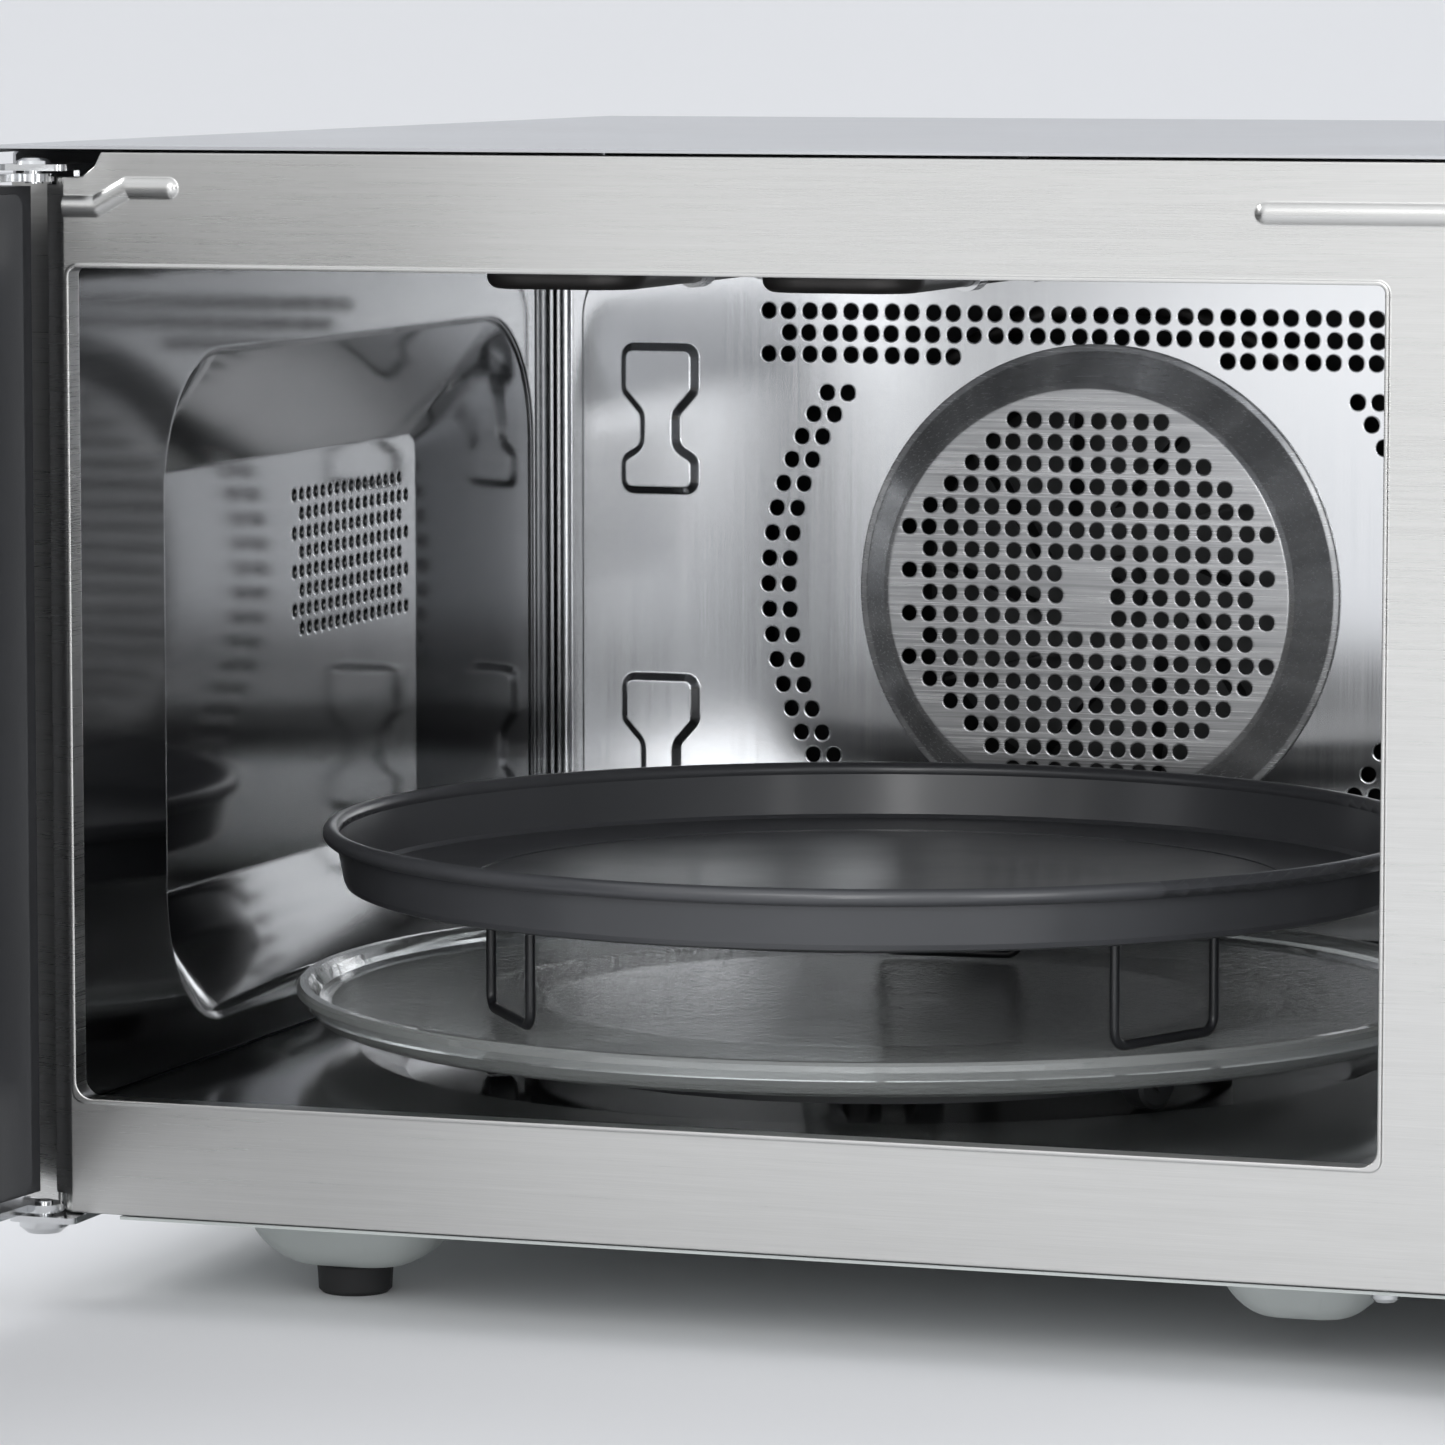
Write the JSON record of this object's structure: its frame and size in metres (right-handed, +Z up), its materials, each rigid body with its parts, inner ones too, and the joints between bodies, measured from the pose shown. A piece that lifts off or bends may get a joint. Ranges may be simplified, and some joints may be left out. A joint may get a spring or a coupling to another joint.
{
  "type": "microwave oven",
  "caption": "Countertop microwave oven with side-hinged door standing open, glass turntable, wire rack, round baking tray, grill element and hot-air fan.",
  "frame": {"origin": "middle of the front left foot's pad, on the floor the oven stands on", "axes": "+Z up, +X to the right seen from the front, -Y out of the front"},
  "size_m": [0.6102, 0.8587, 0.2988],
  "materials": {
    "stainless_brushed": "fine horizontal brushed grain, satin",
    "cover_steel": "light grey metallic, satin",
    "galvanised": "zinc coated, dull",
    "cavity_steel": "semi-gloss stainless, fine vertical grain",
    "chrome": "bright plated",
    "nonstick": "black non-stick coating, satin speckle",
    "black_wire": "black coated wire, satin",
    "clear_glass": "clear tempered glass",
    "smoked_glass": "smoked, glossy",
    "black_plastic": "moulded, fine satin",
    "white_plastic": "moulded, dull",
    "grey_plastic": "moulded heat-proof plastic, satin",
    "panel_black": "glossy moulding",
    "button_grey": "metallised, satin",
    "rubber": "matt black",
    "element": "dark oxidised sheath",
    "mica": "pale mineral sheet, dull",
    "pcb": "green resin board",
    "spring_steel": "drawn wire",
    "aluminium": "stamped sheet"
  },
  "bodies": {
    "cabinet": {"front_frame": "stainless_brushed", "outer_cover": "cover_steel", "base_pan": "galvanised", "rear_panel": "galvanised", "cord_gland": "rubber", "feet": "rubber", "hinge_brackets": "chrome", "hinge_rivet": "chrome", "hinge_screw": "chrome", "case_screws": "chrome", "cavity_left_wall": "cavity_steel", "cavity_right_wall": "cavity_steel", "cavity_ceiling": "cavity_steel", "cavity_floor": "cavity_steel", "cavity_back_wall": "cavity_steel", "fan_cover": "cavity_steel", "convection_housing": "galvanised", "ring_element": "element", "grill_element": "element", "element_clips": "chrome", "turntable_motor": "galvanised", "convection_motor": "galvanised", "waveguide": "galvanised", "waveguide_cover": "mica", "magnetron": "galvanised", "transformer": "galvanised", "capacitor": "aluminium", "diode": "black_plastic", "fan_shroud": "black_plastic", "cooling_motor": "galvanised", "cavity_lamp": "clear_glass", "control_board": "pcb", "interlock_bracket": "black_plastic", "door_switches": "black_plastic", "control_panel": "panel_black", "display_window": "smoked_glass"},
    "door": {"door_inner_panel": "black_plastic", "door_choke_cover": "black_plastic", "door_inner_glass": "smoked_glass", "door_body": "black_plastic", "door_skin": "stainless_brushed", "door_outer_glass": "smoked_glass", "door_handle": "stainless_brushed", "door_hinge_plates": "chrome", "latch_spring": "spring_steel"},
    "latch": {"latch_hooks": "black_plastic"},
    "turntable_drive": {"turntable_coupler": "grey_plastic"},
    "roller_carrier": {"roller_ring": "grey_plastic"},
    "roller_a": {"roller_1": "grey_plastic"},
    "roller_b": {"roller_2": "grey_plastic"},
    "roller_c": {"roller_3": "grey_plastic"},
    "glass_plate": {"glass_turntable": "clear_glass"},
    "rack": {"wire_rack": "black_wire"},
    "tray": {"baking_tray": "nonstick"},
    "hot_air_fan": {"convection_fan": "aluminium"},
    "cooling_blower": {"cooling_fan": "white_plastic"},
    "knob": {"control_knob": "button_grey"},
    "menu_key": {"menu_button": "button_grey"},
    "stop_key": {"stop_button": "button_grey"},
    "start_key": {"start_button": "button_grey"}
  },
  "joints": [
    {"name": "door_hinge", "type": "hinge", "parent": "cabinet", "child": "door", "pos_m": [-0.0638, -0.055, 0.16], "axis": [0, 0, 1], "range_deg": [-8, 95]},
    {"name": "latch_slide", "type": "slide", "parent": "door", "child": "latch", "axis": [0, 0, -1], "range_m": [0, 0.003], "stiffness_N_per_m": 600, "springref_m": -0.004, "deforming": ["latch_spring"]},
    {"name": "turntable_spin", "type": "hinge", "parent": "cabinet", "child": "turntable_drive", "pos_m": [0.1055, 0.1185, 0.05], "axis": [0, 0, 1], "continuous": true},
    {"name": "roller_ring_spin", "type": "hinge", "parent": "cabinet", "child": "roller_carrier", "pos_m": [0.1055, 0.1185, 0.055], "axis": [0, 0, 1], "continuous": true},
    {"name": "glass_lift", "type": "slide", "parent": "turntable_drive", "child": "glass_plate", "axis": [0, 0, 1], "range_m": [0, 0.02]},
    {"name": "rack_lift", "type": "slide", "parent": "glass_plate", "child": "rack", "axis": [0, 0, 1], "range_m": [0, 0.03]},
    {"name": "tray_lift", "type": "slide", "parent": "rack", "child": "tray", "axis": [0, 0, 1], "range_m": [0, 0.06]},
    {"name": "hot_air_fan_spin", "type": "hinge", "parent": "cabinet", "child": "hot_air_fan", "pos_m": [0.1148, 0.33, 0.162], "axis": [0, 1, 0], "continuous": true},
    {"name": "cooling_fan_spin", "type": "hinge", "parent": "cabinet", "child": "cooling_blower", "pos_m": [0.368, 0.36, 0.132], "axis": [0, 1, 0], "continuous": true},
    {"name": "knob_turn", "type": "hinge", "parent": "cabinet", "child": "knob", "pos_m": [0.384, -0.1, 0.092], "axis": [0, -1, 0], "continuous": true},
    {"name": "roller_a_spin", "type": "hinge", "parent": "roller_carrier", "child": "roller_a", "pos_m": [0.1055, 0.2225, 0.055], "axis": [0, 1, 0], "continuous": true},
    {"name": "roller_b_spin", "type": "hinge", "parent": "roller_carrier", "child": "roller_b", "pos_m": [0.01543, 0.0665, 0.055], "axis": [-0.866, -0.5, 0], "continuous": true},
    {"name": "roller_c_spin", "type": "hinge", "parent": "roller_carrier", "child": "roller_c", "pos_m": [0.19557, 0.0665, 0.055], "axis": [0.866, -0.5, 0], "continuous": true},
    {"name": "menu_press", "type": "slide", "parent": "cabinet", "child": "menu_key", "axis": [0, 1, 0], "range_m": [0, 0.0015], "stiffness_N_per_m": 500, "springref_m": -0.0015},
    {"name": "stop_press", "type": "slide", "parent": "cabinet", "child": "stop_key", "axis": [0, 1, 0], "range_m": [0, 0.0015], "stiffness_N_per_m": 500, "springref_m": -0.0015},
    {"name": "start_press", "type": "slide", "parent": "cabinet", "child": "start_key", "axis": [0, 1, 0], "range_m": [0, 0.0015], "stiffness_N_per_m": 500, "springref_m": -0.0015}
  ],
  "couplings": [
    {"joint": "roller_ring_spin", "follows": "turntable_spin", "ratio": 0.5},
    {"joint": "roller_a_spin", "follows": "turntable_spin", "ratio": -7.7612},
    {"joint": "roller_b_spin", "follows": "turntable_spin", "ratio": -7.7612},
    {"joint": "roller_c_spin", "follows": "turntable_spin", "ratio": -7.7612}
  ]
}
